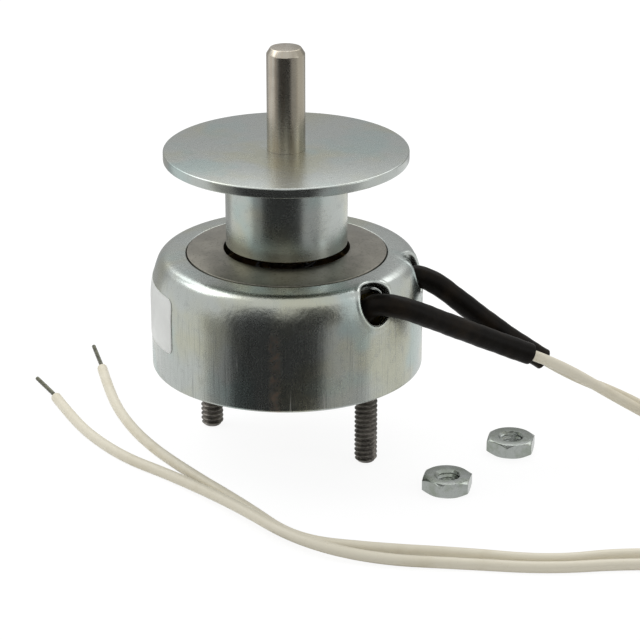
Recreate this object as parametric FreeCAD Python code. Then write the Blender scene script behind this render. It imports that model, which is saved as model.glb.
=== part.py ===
import FreeCAD, Part
import math
import os

# Pull solenoid with a spring-returned plunger: a drawn steel case round a coil, a pole ring in its mouth,
# a plunger with an armature disc on a through shaft, two mounting studs and two free leads.
# Millimetres. The origin is the centre of the mounting face, on the shaft's axis, and +Z is the way
# the shaft comes out. Azimuths are degrees about Z from +X, and -Y is the front.

V = FreeCAD.Vector
AXIS = V(0, 0, 1)

# General clearances
press_gap = 0.02
seat_gap = 0.05
running_gap = 0.05

# Case: a drawn cup, open at the bottom, with a flat land and an oval shoulder round its mouth
case_diameter = 57.15
case_height = 24.45
case_wall = 2.0
rim_wall = 1.4
top_land = 3.975
shoulder_width = 3.6
shoulder_drop = 9.4
shoulder_top_radius = 2.4
mouth_chamfer = 0.3
rim_chamfer = 0.4

# Lead holes, drilled at a slant through the shoulder, with rolled lips
lead_hole_diameter = 7.0
lead_hole_azimuths = (-49.0, -6.0)
lead_hole_tilt = 45.0
lead_hole_inset = 1.675
lead_hole_drop = 3.15
lead_hole_lip = 0.6
lead_hole_depth = 8.0

# Base plate, pressed into the rim, with a recess for the outer stop
base_thickness = 5.5
base_recess_depth = 2.8
base_recess_margin = 1.1
base_chamfer = 0.4

# Mounting studs and their nuts
stud_inset = 9.525
stud_azimuths = (-30.0, 150.0)
stud_diameter = 4.83
stud_length = 19.5
stud_tip_chamfer = 0.6
stud_seat_margin = 0.685
stud_head_margin = 0.9
stud_head_thickness = 1.4
nut_across_flats = 9.6
nut_thickness = 3.15
nut_thread_depth = 0.365
nut_corner_chamfer = 0.45
nut_bore_chamfer = 0.35
nut_places = ((47.7, -5.0), (32.9, -23.7))
nut_turns = (4.0, 4.0)

# Shaft: its free end has a shoulder on the disc, and the thinner rest runs through the bearing
shaft_diameter = 7.94
shaft_reach = 21.55
shaft_end_chamfer = 0.8
shaft_end_chamfer_height = 1.25
shaft_shoulder = 0.35
shaft_tail_chamfer = 0.4
shaft_tail_lift = 0.05

# Shaft bearing, with a flange on the base plate's inner side
bearing_wall = 1.53
bearing_rise = 5.5
bearing_flange_thickness = 1.0
bearing_flange_margin = 0.4

# Return spring, round the bearing
spring_wire = 0.8
spring_gap = 0.6
spring_turns = 8
spring_arcs_per_turn = 3

# Plunger and armature disc, both on the shaft, drawn at the outer end of the stroke
plunger_diameter = 25.4
plunger_length = 18.6
plunger_lift = 0.7
plunger_chamfer = 0.4
pocket_gap = 0.4
pocket_depth = 13.5
disc_diameter = 50.8
disc_thickness = 2.1
disc_edge_chamfer = 0.35

# Pole ring: its neck shows in the mouth, its top rises towards the bore and its flange bears under
# the case's top
plunger_gap = 0.5
ring_thickness = 3.05
ring_rise = 0.85
ring_flange_width = 2.5
ring_proud = 0.15
ring_chamfer = 0.25

# Outer stop: a damping washer and a retaining ring in a groove near the shaft's tail
clip_width = 2.88
clip_thickness = 0.8
clip_land = 2.0
clip_relief = 1.1
groove_depth = 0.6
stop_washer_margin = 0.9
stop_washer_thickness = 1.0

# Inner stop: a washer that keeps the last gap when the plunger is in
gap_washer_thickness = 1.33
gap_washer_hole_margin = 0.3
gap_washer_edge_margin = 0.3

# Coil: guide sleeve, bobbin, winding and outer tape
guide_gap = 0.3
guide_wall = 0.4
bobbin_gap = 0.1
bobbin_wall = 1.0
bobbin_flange = 1.2
bobbin_side_gap = 1.775
bobbin_notch_margin = 1.0
winding_inset = 4.5
tape_thickness = 0.25

# Leads, with their conductors and heat-resistant sleeves
lead_diameter = 2.3
conductor_diameter = 0.95
conductor_gap = 0.05
conductor_hold = 3.0
conductor_ends = ((-45.4, 50.6, -18.35), (-56.9, 32.0, -18.35))
insulator_bore = 2.8
insulator_diameter = 4.4
insulator_shares = (0.52, 0.5)
insulator_start = 0.12

# An arc reaches this far along the shorter of its two runs
arc_reach = 0.45

# Route of lead A, from the coil to the end of its insulation, on the plane of the stud tips
route_a = (
    (15.0, -17.3, 15.2),
    (17.0, -20.3, 20.2),
    (23.0, -22.0, 20.6),
    (32.6, -16.4, 14.3),
    (45.3, -10.2, 7.0),
    (57.8, -6.7, 0.8),
    (68.5, -6.3, -6.1),
    (79.5, -6.2, -12.6),
    (90.5, -6.6, -17.1),
    (103.0, -10.5, -18.35),
    (112.5, -23.0, -18.35),
    (111.0, -40.0, -18.35),
    (100.0, -53.0, -18.35),
    (84.0, -56.5, -18.35),
    (65.7, -55.0, -18.35),
    (51.0, -58.1, -18.35),
    (34.1, -54.6, -18.35),
    (16.9, -52.3, -18.35),
    (1.3, -48.5, -18.35),
    (-8.9, -33.0, -18.35),
    (-21.1, -17.1, -18.35),
    (-30.4, -2.9, -18.35),
    (-36.8, 12.1, -18.35),
    (-40.5, 26.9, -18.35),
    (-42.5, 37.5, -18.35),
)

# Route of lead B
route_b = (
    (22.8, -2.4, 15.6),
    (25.9, -2.8, 19.7),
    (31.2, -3.1, 19.9),
    (37.2, -3.1, 13.3),
    (47.6, -2.8, 4.9),
    (60.0, -2.5, -3.2),
    (71.0, -2.2, -7.9),
    (81.5, -1.8, -14.0),
    (93.5, -1.4, -18.0),
    (109.0, -4.5, -18.35),
    (119.0, -19.0, -18.35),
    (119.0, -38.0, -18.35),
    (106.0, -55.5, -18.35),
    (86.0, -60.5, -18.35),
    (66.0, -59.4, -18.35),
    (50.2, -61.2, -18.35),
    (34.6, -59.1, -18.35),
    (16.1, -57.3, -18.1),
    (1.2, -51.0, -16.95),
    (-10.6, -35.7, -16.95),
    (-24.3, -19.0, -18.35),
    (-34.2, -10.6, -18.35),
    (-42.3, 0.5, -18.35),
    (-47.6, 11.2, -18.35),
    (-51.7, 21.3, -18.35),
)

# Radii that follow from the sizes above
case_radius = case_diameter / 2
case_inner = case_radius - case_wall
plate_radius = case_radius - rim_wall - seat_gap
ring_radius = case_radius - shoulder_width - top_land
stud_radius = stud_diameter / 2
stud_seat_radius = stud_radius + stud_seat_margin
stud_head_radius = stud_seat_radius + stud_head_margin
stud_circle_radius = case_radius - stud_inset
lead_hole_radius = lead_hole_diameter / 2
shaft_radius = shaft_diameter / 2
shaft_tail_radius = shaft_radius - shaft_shoulder
bearing_radius = shaft_tail_radius + running_gap + bearing_wall
spring_radius = bearing_radius + spring_gap + spring_wire / 2
bearing_flange_radius = spring_radius + spring_wire / 2 + bearing_flange_margin
pocket_radius = bearing_flange_radius + pocket_gap
plunger_radius = plunger_diameter / 2
disc_radius = disc_diameter / 2
ring_bore_radius = plunger_radius + plunger_gap
clip_radius = shaft_tail_radius + clip_width
stop_washer_radius = clip_radius + stop_washer_margin
recess_radius = stop_washer_radius + base_recess_margin
gap_washer_hole_radius = pocket_radius + gap_washer_hole_margin
gap_washer_radius = plunger_radius - gap_washer_edge_margin
guide_radius = plunger_radius + guide_gap + guide_wall
bobbin_inner = guide_radius + bobbin_gap
bobbin_outer = bobbin_inner + bobbin_wall
bobbin_radius = case_inner - bobbin_side_gap
winding_radius = bobbin_radius - winding_inset
conductor_radius = conductor_diameter / 2

# Heights that follow
ring_top = case_height + ring_proud
ring_bottom = ring_top - ring_thickness
case_ceiling = case_height - case_wall
ring_peak = ring_top + ring_rise
plunger_bottom = ring_peak + plunger_lift
plunger_top = plunger_bottom + plunger_length
disc_top = plunger_top + disc_thickness
shaft_top = disc_top + shaft_reach
pocket_top = plunger_bottom + pocket_depth
flange_top = base_thickness + press_gap + bearing_flange_thickness
bearing_top = flange_top + bearing_rise
stop_washer_top = base_recess_depth - seat_gap
clip_top = stop_washer_top - stop_washer_thickness
clip_bottom = clip_top - clip_thickness
bobbin_bottom = base_thickness + seat_gap
bobbin_top = ring_bottom - seat_gap


def polar(radius, azimuth, height=0.0):
    """A point from a radius, an azimuth in degrees and a height."""
    turn = math.radians(azimuth)
    return V(radius * math.cos(turn), radius * math.sin(turn), height)


def line(a, b):
    """A straight edge between two points."""
    return Part.LineSegment(a, b).toShape()


def arc(a, middle, b):
    """A circular edge through three points."""
    return Part.Arc(a, middle, b).toShape()


def turned(edges):
    """The solid that a closed outline in the XZ plane sweeps round Z."""
    face = Part.Face(Part.Wire(edges))
    return face.revolve(V(0, 0, 0), AXIS, 360)


def turned_corners(corners):
    """A turned solid from (radius, height) corners joined by straight lines."""
    points = [V(radius, 0, height) for radius, height in corners]
    return turned([line(a, b) for a, b in zip(points, points[1:] + points[:1])])


def washer(inner, outer, bottom, top):
    """A flat ring."""
    return turned_corners([(inner, bottom), (outer, bottom), (outer, top), (inner, top)])


def lower_arc_radius():
    """The radius of the shoulder's lower arc, which touches both the upright wall and the arc at the top."""
    rise = 2 * shoulder_drop * shoulder_top_radius
    return (shoulder_width**2 + shoulder_drop**2 - rise) / (2 * (shoulder_width - shoulder_top_radius))


def shoulder(inset):
    """The two tangent arcs of the case's oval shoulder, moved inwards by a wall."""
    lower = lower_arc_radius()
    lean = math.atan2(shoulder_drop - shoulder_top_radius, lower - shoulder_width)
    low_centre = (case_radius - lower, case_height - shoulder_drop)
    top_centre = (case_radius - shoulder_width, case_height - shoulder_top_radius)

    def at(centre, radius, angle):
        return V(centre[0] + radius * math.cos(angle), 0, centre[1] + radius * math.sin(angle))

    upright = math.pi / 2
    low = [at(low_centre, lower - inset, turn) for turn in (0, lean / 2, lean)]
    top = [at(top_centre, shoulder_top_radius - inset, turn) for turn in (lean, (lean + upright) / 2, upright)]
    return low, top


def lead_hole_centre(azimuth):
    """A point on the axis of one lead hole, by the shoulder."""
    return polar(case_radius - lead_hole_inset, azimuth, case_height - lead_hole_drop)


def lead_hole_tool(azimuth):
    """The slanted drill that makes one lead hole."""
    tilt = math.radians(lead_hole_tilt)
    out = polar(math.cos(tilt), azimuth, math.sin(tilt))
    centre = lead_hole_centre(azimuth)
    return Part.makeCylinder(lead_hole_radius, 2 * lead_hole_depth, centre - out * lead_hole_depth, out)


def lips_of(solid, azimuth):
    """The outer edges of one lead hole: on the drill's wall, and farther out than the case's inside."""
    tilt = math.radians(lead_hole_tilt)
    out = polar(math.cos(tilt), azimuth, math.sin(tilt))
    centre = lead_hole_centre(azimuth)
    picked = []
    for edge in solid.Edges:
        offsets = [point - centre for point in edge.discretize(7)]
        depths = [offset.dot(out) for offset in offsets]
        walls = [(offset - out * depth).Length for offset, depth in zip(offsets, depths)]
        on_drill = all(abs(wall - lead_hole_radius) < 0.01 for wall in walls)
        if on_drill and sum(depths) / len(depths) > -case_wall / 2:
            picked.append(edge)
    return picked


def case():
    """The drawn cup: upright wall, oval shoulder, open mouth, stepped rim and two slanted lead holes."""
    low, top = shoulder(0)
    inner_low, inner_top = shoulder(case_wall)
    mouth = ring_radius + press_gap
    rim = case_radius - rim_wall
    step = base_thickness + seat_gap
    outline = [
        line(V(rim, 0, 0), V(case_radius - rim_chamfer, 0, 0)),
        line(V(case_radius - rim_chamfer, 0, 0), V(case_radius, 0, rim_chamfer)),
        line(V(case_radius, 0, rim_chamfer), low[0]),
        arc(*low),
        arc(*top),
        line(top[2], V(mouth + mouth_chamfer, 0, case_height)),
        line(V(mouth + mouth_chamfer, 0, case_height), V(mouth, 0, case_height - mouth_chamfer)),
        line(V(mouth, 0, case_height - mouth_chamfer), V(mouth, 0, case_ceiling)),
        line(V(mouth, 0, case_ceiling), inner_top[2]),
        arc(inner_top[2], inner_top[1], inner_top[0]),
        arc(inner_low[2], inner_low[1], inner_low[0]),
        line(inner_low[0], V(case_inner, 0, step)),
        line(V(case_inner, 0, step), V(rim, 0, step)),
        line(V(rim, 0, step), V(rim, 0, 0)),
    ]
    solid = turned(outline)
    for azimuth in lead_hole_azimuths:
        solid = solid.cut(lead_hole_tool(azimuth))
    solid = solid.Solids[0]
    for azimuth in lead_hole_azimuths:
        edges = lips_of(solid, azimuth)
        solid = solid.makeFillet(lead_hole_lip, edges).Solids[0]
    return solid


def base_plate():
    """The disc that closes the case: recess below, bearing bore, stud holes with head counterbores."""
    bore = bearing_radius + press_gap
    plate = turned_corners([
        (recess_radius, 0),
        (plate_radius - base_chamfer, 0),
        (plate_radius, base_chamfer),
        (plate_radius, base_thickness),
        (bore, base_thickness),
        (bore, base_recess_depth),
        (recess_radius, base_recess_depth),
    ])
    for azimuth in stud_azimuths:
        foot = polar(stud_circle_radius, azimuth, -base_thickness)
        plate = plate.cut(Part.makeCylinder(stud_seat_radius + press_gap, 3 * base_thickness, foot))
        head_seat = polar(stud_circle_radius, azimuth, base_thickness - stud_head_thickness - seat_gap)
        plate = plate.cut(Part.makeCylinder(stud_head_radius + press_gap, base_thickness, head_seat))
    return plate.Solids[0]


def mounting_stud(azimuth):
    """One stud: a head inside the case, a pressed seat in the plate and the threaded length below it."""
    head_bottom = base_thickness - seat_gap - stud_head_thickness
    stud = turned_corners([
        (0, -stud_length),
        (stud_radius - stud_tip_chamfer, -stud_length),
        (stud_radius, stud_tip_chamfer - stud_length),
        (stud_radius, 0),
        (stud_seat_radius, 0),
        (stud_seat_radius, head_bottom),
        (stud_head_radius, head_bottom),
        (stud_head_radius, head_bottom + stud_head_thickness),
        (0, head_bottom + stud_head_thickness),
    ])
    stud.translate(polar(stud_circle_radius, azimuth))
    return stud


def mounting_nut(place, turn):
    """One hexagon nut with chamfered corners, lying on the plane of the stud tips."""
    corner = nut_across_flats / math.sqrt(3)
    points = [polar(corner, 60 * index - 90) for index in range(7)]
    blank = Part.Face(Part.makePolygon(points)).extrude(V(0, 0, nut_thickness))
    bore = stud_radius - nut_thread_depth
    mouth = bore + nut_bore_chamfer
    drop = nut_corner_chamfer
    shell = turned_corners([
        (mouth, 0),
        (corner - drop * 2, 0),
        (corner, drop),
        (corner, nut_thickness - drop),
        (corner - drop * 2, nut_thickness),
        (mouth, nut_thickness),
        (bore, nut_thickness - nut_bore_chamfer),
        (bore, nut_bore_chamfer),
    ])
    nut = blank.common(shell).Solids[0]
    nut.rotate(V(0, 0, 0), AXIS, turn)
    nut.translate(V(place[0], place[1], -stud_length))
    return nut


def pole_ring():
    """The bare steel ring in the mouth, with a flange that bears under the case's top."""
    flange = ring_radius + ring_flange_width
    bevel = ring_chamfer
    slope = ring_rise / (ring_radius - ring_bore_radius)
    return turned_corners([
        (ring_bore_radius, ring_bottom),
        (flange, ring_bottom),
        (flange, case_ceiling - seat_gap),
        (ring_radius, case_ceiling - seat_gap),
        (ring_radius, ring_top - bevel),
        (ring_radius - bevel, ring_top + bevel * slope),
        (ring_bore_radius + bevel, ring_peak - bevel * slope),
        (ring_bore_radius, ring_peak - bevel),
    ])


def shaft():
    """The through shaft: chamfered free end, shoulder on the disc, groove near the tail."""
    tail = shaft_tail_radius
    floor = tail - groove_depth
    shoulder_height = disc_top + press_gap
    return turned_corners([
        (0, shaft_tail_lift),
        (tail - shaft_tail_chamfer, shaft_tail_lift),
        (tail, shaft_tail_lift + shaft_tail_chamfer),
        (tail, clip_bottom - seat_gap),
        (floor, clip_bottom - seat_gap),
        (floor, clip_top + seat_gap),
        (tail, clip_top + seat_gap),
        (tail, shoulder_height),
        (shaft_radius, shoulder_height),
        (shaft_radius, shaft_top - shaft_end_chamfer_height),
        (shaft_radius - shaft_end_chamfer, shaft_top),
        (0, shaft_top),
    ])


def plunger():
    """The cylindrical plunger with a spring pocket in its underside."""
    hole = shaft_tail_radius + press_gap
    bevel = plunger_chamfer
    return turned_corners([
        (pocket_radius + bevel, plunger_bottom),
        (plunger_radius - bevel, plunger_bottom),
        (plunger_radius, plunger_bottom + bevel),
        (plunger_radius, plunger_top),
        (hole, plunger_top),
        (hole, pocket_top),
        (pocket_radius, pocket_top),
        (pocket_radius, plunger_bottom + bevel),
    ])


def armature_disc():
    """The flat disc on top of the plunger."""
    hole = shaft_tail_radius + press_gap
    bottom = plunger_top + press_gap
    bevel = disc_edge_chamfer
    return turned_corners([
        (hole, bottom),
        (disc_radius - bevel, bottom),
        (disc_radius, bottom + bevel),
        (disc_radius, disc_top - bevel),
        (disc_radius - bevel, disc_top),
        (hole, disc_top),
    ])


def retaining_ring():
    """An E-shaped clip: three lands on the groove's floor, two reliefs between them and an open side."""
    grip = shaft_tail_radius - groove_depth + press_gap
    clip = washer(grip, clip_radius, clip_bottom, clip_top)
    opening = Part.makeBox(clip_radius, 2 * grip - clip_relief, clip_thickness)
    opening.translate(V(0, clip_relief / 2 - grip, clip_bottom))
    clip = clip.cut(opening)
    for azimuth in (120.0, 240.0):
        relief = Part.makeBox(grip + clip_relief, clip_land, clip_thickness)
        relief.translate(V(0, -clip_land / 2, clip_bottom))
        relief.rotate(V(0, 0, 0), AXIS, azimuth)
        clip = clip.cut(relief)
    return clip.Solids[0]


def stop_washer():
    """The damping washer between the retaining ring and the base plate."""
    return washer(shaft_tail_radius + running_gap, stop_washer_radius, clip_top, stop_washer_top)


def shaft_bearing():
    """The flanged bearing that guides the shaft."""
    inner = shaft_tail_radius + running_gap
    seat = base_thickness + press_gap
    return turned_corners([
        (inner, base_recess_depth),
        (bearing_radius, base_recess_depth),
        (bearing_radius, seat),
        (bearing_flange_radius, seat),
        (bearing_flange_radius, flange_top),
        (bearing_radius, flange_top),
        (bearing_radius, bearing_top),
        (inner, bearing_top),
    ])


def air_gap_washer():
    """The thin washer that the plunger lands on."""
    bottom = base_thickness + press_gap
    return washer(gap_washer_hole_radius, gap_washer_radius, bottom, bottom + gap_washer_thickness)


def return_spring():
    """A compression spring round the shaft, from the bearing's flange into the plunger's pocket.

    Its wire follows the coil in arcs, each through three points of the helix.
    """
    wire = spring_wire / 2
    bottom = flange_top + seat_gap + wire
    top = pocket_top - seat_gap - wire
    arcs = int(spring_turns * spring_arcs_per_turn)
    points = []
    for index in range(2 * arcs + 1):
        share = index / (2 * arcs)
        points.append(polar(spring_radius, 360 * spring_turns * share, bottom + (top - bottom) * share))
    path = Part.Wire([arc(*points[2 * index:2 * index + 3]) for index in range(arcs)])
    start = path.Edges[0].Curve.parameter(points[0])
    ahead = path.Edges[0].Curve.tangent(start)[0]
    profile = Part.Wire(Part.makeCircle(wire, points[0], ahead))
    return path.makePipeShell([profile], True, True)


def guide_sleeve():
    """The thin brass tube that the plunger slides in."""
    return washer(guide_radius - guide_wall, guide_radius, bobbin_bottom, bobbin_top)


def coil_bobbin():
    """The moulded bobbin: a tube with two flanges, the upper one notched for the leads."""
    low = bobbin_bottom + bobbin_flange
    high = bobbin_top - bobbin_flange
    bobbin = turned_corners([
        (bobbin_inner, bobbin_bottom),
        (bobbin_radius, bobbin_bottom),
        (bobbin_radius, low),
        (bobbin_outer, low),
        (bobbin_outer, high),
        (bobbin_radius, high),
        (bobbin_radius, bobbin_top),
        (bobbin_inner, bobbin_top),
    ])
    width = lead_hole_diameter + 2 * bobbin_notch_margin
    for azimuth in lead_hole_azimuths:
        notch = Part.makeBox(bobbin_radius, width, 2 * bobbin_flange)
        notch.translate(V(winding_radius + bobbin_notch_margin, -width / 2, high - bobbin_flange / 2))
        notch.rotate(V(0, 0, 0), AXIS, azimuth)
        bobbin = bobbin.cut(notch)
    return bobbin.Solids[0]


def coil_winding():
    """The copper winding as one block."""
    low = bobbin_bottom + bobbin_flange + press_gap
    high = bobbin_top - bobbin_flange - press_gap
    return washer(bobbin_outer + press_gap, winding_radius, low, high)


def coil_tape():
    """The tape round the winding."""
    low = bobbin_bottom + bobbin_flange + press_gap
    high = bobbin_top - bobbin_flange - press_gap
    inner = winding_radius + press_gap
    return washer(inner, inner + tape_thickness, low, high)


def route_edges(route):
    """Straight runs joined by tangent arcs along a route, as (kind, points, radius)."""
    points = [V(*point) for point in route]
    start = points[0]
    pieces = []
    for before, corner, after in zip(points, points[1:], points[2:]):
        back = (before - corner).normalize()
        on = (after - corner).normalize()
        reach = arc_reach * min((before - corner).Length, (after - corner).Length)
        half_turn = (math.pi - back.getAngle(on)) / 2
        radius = reach / math.tan(half_turn)
        enter = corner + back * reach
        leave = corner + on * reach
        inward = (back + on).normalize()
        middle = corner + inward * (radius / math.cos(half_turn) - radius)
        pieces.append(("line", (start, enter), 0))
        pieces.append(("arc", (enter, middle, leave), radius))
        start = leave
    pieces.append(("line", (start, points[-1]), 0))
    return pieces


def as_wire(pieces):
    """One wire from the pieces of a route."""
    return Part.Wire([line(*points) if kind == "line" else arc(*points) for kind, points, _ in pieces])


def rod_along(pieces, radius):
    """A solid rod along the pieces of a route."""
    start, ahead = pieces[0][1][0], pieces[0][1][1]
    profile = Part.Wire(Part.makeCircle(radius, start, ahead - start))
    return as_wire(pieces).makePipeShell([profile], True, True)


def lead(route):
    """One insulated lead, with a short blind bore at its bare end for the conductor."""
    rod = rod_along(route_edges(route), lead_diameter / 2)
    end = V(*route[-1])
    back = (V(*route[-2]) - end).normalize()
    bore = Part.makeCylinder(conductor_radius + conductor_gap, conductor_hold, end, back)
    return rod.cut(bore).Solids[0]


def conductor(route, tip):
    """The bare end of one conductor, straight in the insulation and bent a little outside it."""
    end = V(*route[-1])
    back = (V(*route[-2]) - end).normalize()
    start = end + back * (conductor_hold - conductor_gap)
    return rod_along(route_edges([start, end - back * conductor_hold, V(*tip)]), conductor_radius)


def insulator(sleeved, share):
    """The black sleeve round a lead: the lead's own runs and arcs, ending within the last run."""
    pieces = route_edges(sleeved)
    first, last = pieces[0][1], V(*sleeved[-1])
    before = V(*sleeved[-2])
    pieces[0] = ("line", (first[0] + (first[1] - first[0]) * insulator_start, first[1]), 0)
    pieces[-1] = ("line", (pieces[-1][1][0], before + (last - before) * share), 0)
    outer = rod_along(pieces, insulator_diameter / 2)
    inner = rod_along(pieces, insulator_bore / 2)
    return outer.cut(inner).Solids[0]


def report_route(name, route, solid):
    """Print a lead's arc radii, and its volume beside section times length."""
    pieces = route_edges(route)
    radii = [round(radius, 1) for kind, _, radius in pieces if kind == "arc"]
    length = as_wire(pieces).Length
    section = math.pi * lead_diameter**2 / 4
    print(name, "radii", radii)
    print(name, "length", round(length, 1), "volume", round(solid.Volume, 1), "of", round(section * length, 1))


def save(name, solids):
    """Write one node."""
    for solid in solids:
        if not solid.isValid() or solid.Volume <= 0:
            raise ValueError(name + " isn't a sound solid")
    shape = solids[0] if len(solids) == 1 else Part.makeCompound(solids)
    shape.exportStep(os.path.join("parts", name + ".step"))
    print(name, len(solids), round(sum(solid.Volume for solid in solids), 1))


os.makedirs("parts", exist_ok=True)
lead_a = lead(route_a)
lead_b = lead(route_b)
save("case", [case()])
save("base_plate", [base_plate()])
save("mounting_studs", [mounting_stud(azimuth) for azimuth in stud_azimuths])
save("mounting_nuts", [mounting_nut(place, turn) for place, turn in zip(nut_places, nut_turns)])
save("pole_ring", [pole_ring()])
save("plunger", [plunger()])
save("armature_disc", [armature_disc()])
save("shaft", [shaft()])
save("retaining_ring", [retaining_ring()])
save("stop_washer", [stop_washer()])
save("shaft_bearing", [shaft_bearing()])
save("air_gap_washer", [air_gap_washer()])
save("return_spring", [return_spring()])
save("guide_sleeve", [guide_sleeve()])
save("coil_bobbin", [coil_bobbin()])
save("coil_winding", [coil_winding()])
save("coil_tape", [coil_tape()])
save("lead_a", [lead_a])
save("lead_b", [lead_b])
save("conductor_a", [conductor(route_a, conductor_ends[0])])
save("conductor_b", [conductor(route_b, conductor_ends[1])])
save("insulating_sleeve_a", [insulator(route_a[:6], insulator_shares[0])])
save("insulating_sleeve_b", [insulator(route_b[:6], insulator_shares[1])])
report_route("lead_a", route_a, lead_a)
report_route("lead_b", route_b, lead_b)
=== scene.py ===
"""A pull solenoid with a raised plunger, two leads and two loose nuts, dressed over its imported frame."""

import math

import bmesh
import bpy
import numpy as np
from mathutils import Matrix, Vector


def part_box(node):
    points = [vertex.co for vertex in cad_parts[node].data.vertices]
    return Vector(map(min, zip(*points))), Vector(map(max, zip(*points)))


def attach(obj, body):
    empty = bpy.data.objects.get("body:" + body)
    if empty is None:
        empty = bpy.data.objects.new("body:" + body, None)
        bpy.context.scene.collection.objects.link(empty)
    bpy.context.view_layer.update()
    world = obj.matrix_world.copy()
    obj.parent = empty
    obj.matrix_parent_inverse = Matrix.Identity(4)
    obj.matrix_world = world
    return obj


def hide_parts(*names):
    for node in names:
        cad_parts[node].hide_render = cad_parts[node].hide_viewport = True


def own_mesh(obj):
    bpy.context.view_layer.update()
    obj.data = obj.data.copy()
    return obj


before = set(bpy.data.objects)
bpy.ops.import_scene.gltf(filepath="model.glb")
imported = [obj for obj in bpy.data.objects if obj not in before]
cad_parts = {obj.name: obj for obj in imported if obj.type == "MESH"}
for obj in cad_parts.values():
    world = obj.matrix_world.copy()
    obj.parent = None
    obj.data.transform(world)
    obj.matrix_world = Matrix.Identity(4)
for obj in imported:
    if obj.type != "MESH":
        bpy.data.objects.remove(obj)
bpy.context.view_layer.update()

bl_info = {
    "name": "Pull Solenoid",
    "version": (1, 0, 0),
    "blender": (4, 5, 0),
    "location": "View3D > Sidebar > Solenoid",
    "description": "Builds the finished surfaces, leads and stage of a pull solenoid over its frame",
    "category": "Add Mesh",
}

MM = 0.001
TAU = 2.0 * math.pi


def low_corner(node):
    """The lowest corner of a frame node's box, in metres."""
    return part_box(node)[0]


def high_corner(node):
    """The highest corner of a frame node's box, in metres."""
    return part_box(node)[1]


# Lead routes: the control points of each lead's smooth line, in metres
ROUTE_A = (
    (0.0150, -0.0173, 0.0152),
    (0.0160, -0.0204, 0.0206),
    (0.0228, -0.0222, 0.0207),
    (0.0326, -0.0165, 0.0145),
    (0.0453, -0.0102, 0.0070),
    (0.0578, -0.0067, 0.0008),
    (0.0685, -0.0063, -0.0061),
    (0.0795, -0.0062, -0.0126),
    (0.0905, -0.0066, -0.0171),
    (0.1030, -0.0105, -0.01835),
    (0.1125, -0.0230, -0.01835),
    (0.1110, -0.0400, -0.01835),
    (0.1000, -0.0530, -0.01835),
    (0.0840, -0.0565, -0.01835),
    (0.0657, -0.0550, -0.01835),
    (0.0510, -0.0581, -0.01835),
    (0.0341, -0.0546, -0.01835),
    (0.0169, -0.0523, -0.01835),
    (0.0013, -0.0485, -0.01835),
    (-0.0089, -0.0330, -0.01835),
    (-0.0211, -0.0171, -0.01835),
    (-0.0304, -0.0029, -0.01835),
    (-0.0368, 0.0121, -0.01835),
    (-0.0405, 0.0269, -0.01835),
    (-0.0425, 0.0375, -0.01835),
)
ROUTE_B = (
    (0.0228, -0.0024, 0.0156),
    (0.0250, -0.0028, 0.0204),
    (0.0306, -0.0031, 0.0188),
    (0.0372, -0.0031, 0.0133),
    (0.0476, -0.0028, 0.0049),
    (0.0600, -0.0025, -0.0032),
    (0.0710, -0.0022, -0.0079),
    (0.0815, -0.0018, -0.0140),
    (0.0935, -0.0014, -0.0180),
    (0.1090, -0.0045, -0.01835),
    (0.1190, -0.0190, -0.01835),
    (0.1190, -0.0380, -0.01835),
    (0.1060, -0.0555, -0.01835),
    (0.0860, -0.0605, -0.01835),
    (0.0660, -0.0594, -0.01835),
    (0.0502, -0.0612, -0.01835),
    (0.0346, -0.0591, -0.01835),
    (0.0161, -0.0573, -0.0181),
    (0.0012, -0.0510, -0.01695),
    (-0.0106, -0.0357, -0.01695),
    (-0.0243, -0.0190, -0.01835),
    (-0.0342, -0.0106, -0.01835),
    (-0.0423, 0.0005, -0.01835),
    (-0.0476, 0.0112, -0.01835),
    (-0.0517, 0.0213, -0.01835),
)
TIP_A = (-0.0454, 0.0506, -0.01835)
TIP_B = (-0.0569, 0.0320, -0.01835)
LEAD_LENGTHS = (0.3497, 0.3520)

# Where the black sleeves end, and where the loose nuts lie, in metres
SLEEVE_ENDS = ((0.0508, -0.0088, 0.0043), (0.0546, -0.0026, 0.0003))
NUT_PLACES = ((0.0477, -0.0050), (0.0329, -0.0237))

# Azimuths about the shaft from +X: the lead holes' in radians, the others in degrees
HOLE_AZIMUTHS = (math.radians(-49.0), math.radians(-6.0))
STUD_AZIMUTHS = (-30.0, 150.0)
LABEL_AZIMUTHS = (140.0, 214.0)

# The slopes of the case at the label's foot and head, and each loose nut's turn, in degrees
LABEL_SLOPES = (-13.8, 43.0)
NUT_TURN = -13.0

# The photograph's view: the lens against the picture's width, the camera's place in metres, its turn in degrees
FOCAL_SHARE = 2450.0 / 640.0
CAMERA_PLACE = (0.0, -0.480, 0.2048)
CAMERA_TURN = (90.0 - 22.22, 0.0, -0.83)

# Box lamps: place, aim, width, height, radiance and colour
LAMPS = (
    ("back_top_box", (0.08, 0.50, 0.72), (0, 0, 0.03), 1.3, 0.46, 1.7, (1.0, 1.0, 1.0)),
    ("left_top_box", (-0.55, 0.10, 0.65), (0, 0, 0.03), 0.5, 0.5, 2.6, (0.97, 0.99, 1.0)),
    ("right_box", (0.8, -0.25, 0.3), (0, 0, 0.02), 0.2, 0.6, 1.5, (0.95, 0.98, 1.0)),
)

# Cards on the floor: near left, near right, far left and far right corner, and the grey they glow in
FLOOR_CARDS = (
    ("front_floor_card", (-0.0312, -0.0420), (0.0205, -0.0489), (-1.05, -0.90), (0.54, -0.90), 0.048),
    ("left_floor_card", (-0.0406, -0.0308), (-0.0312, -0.0420), (-1.25, -0.42), (-1.05, -0.90), 0.38),
    ("right_floor_card", (0.0205, -0.0489), (0.0406, -0.0308), (0.54, -0.90), (1.25, -0.42), 0.54),
    ("back_floor_card", (0.08, 0.06), (-0.08, 0.06), (-1.4, 0.95), (1.4, 0.95), 0.50),
)

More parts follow.
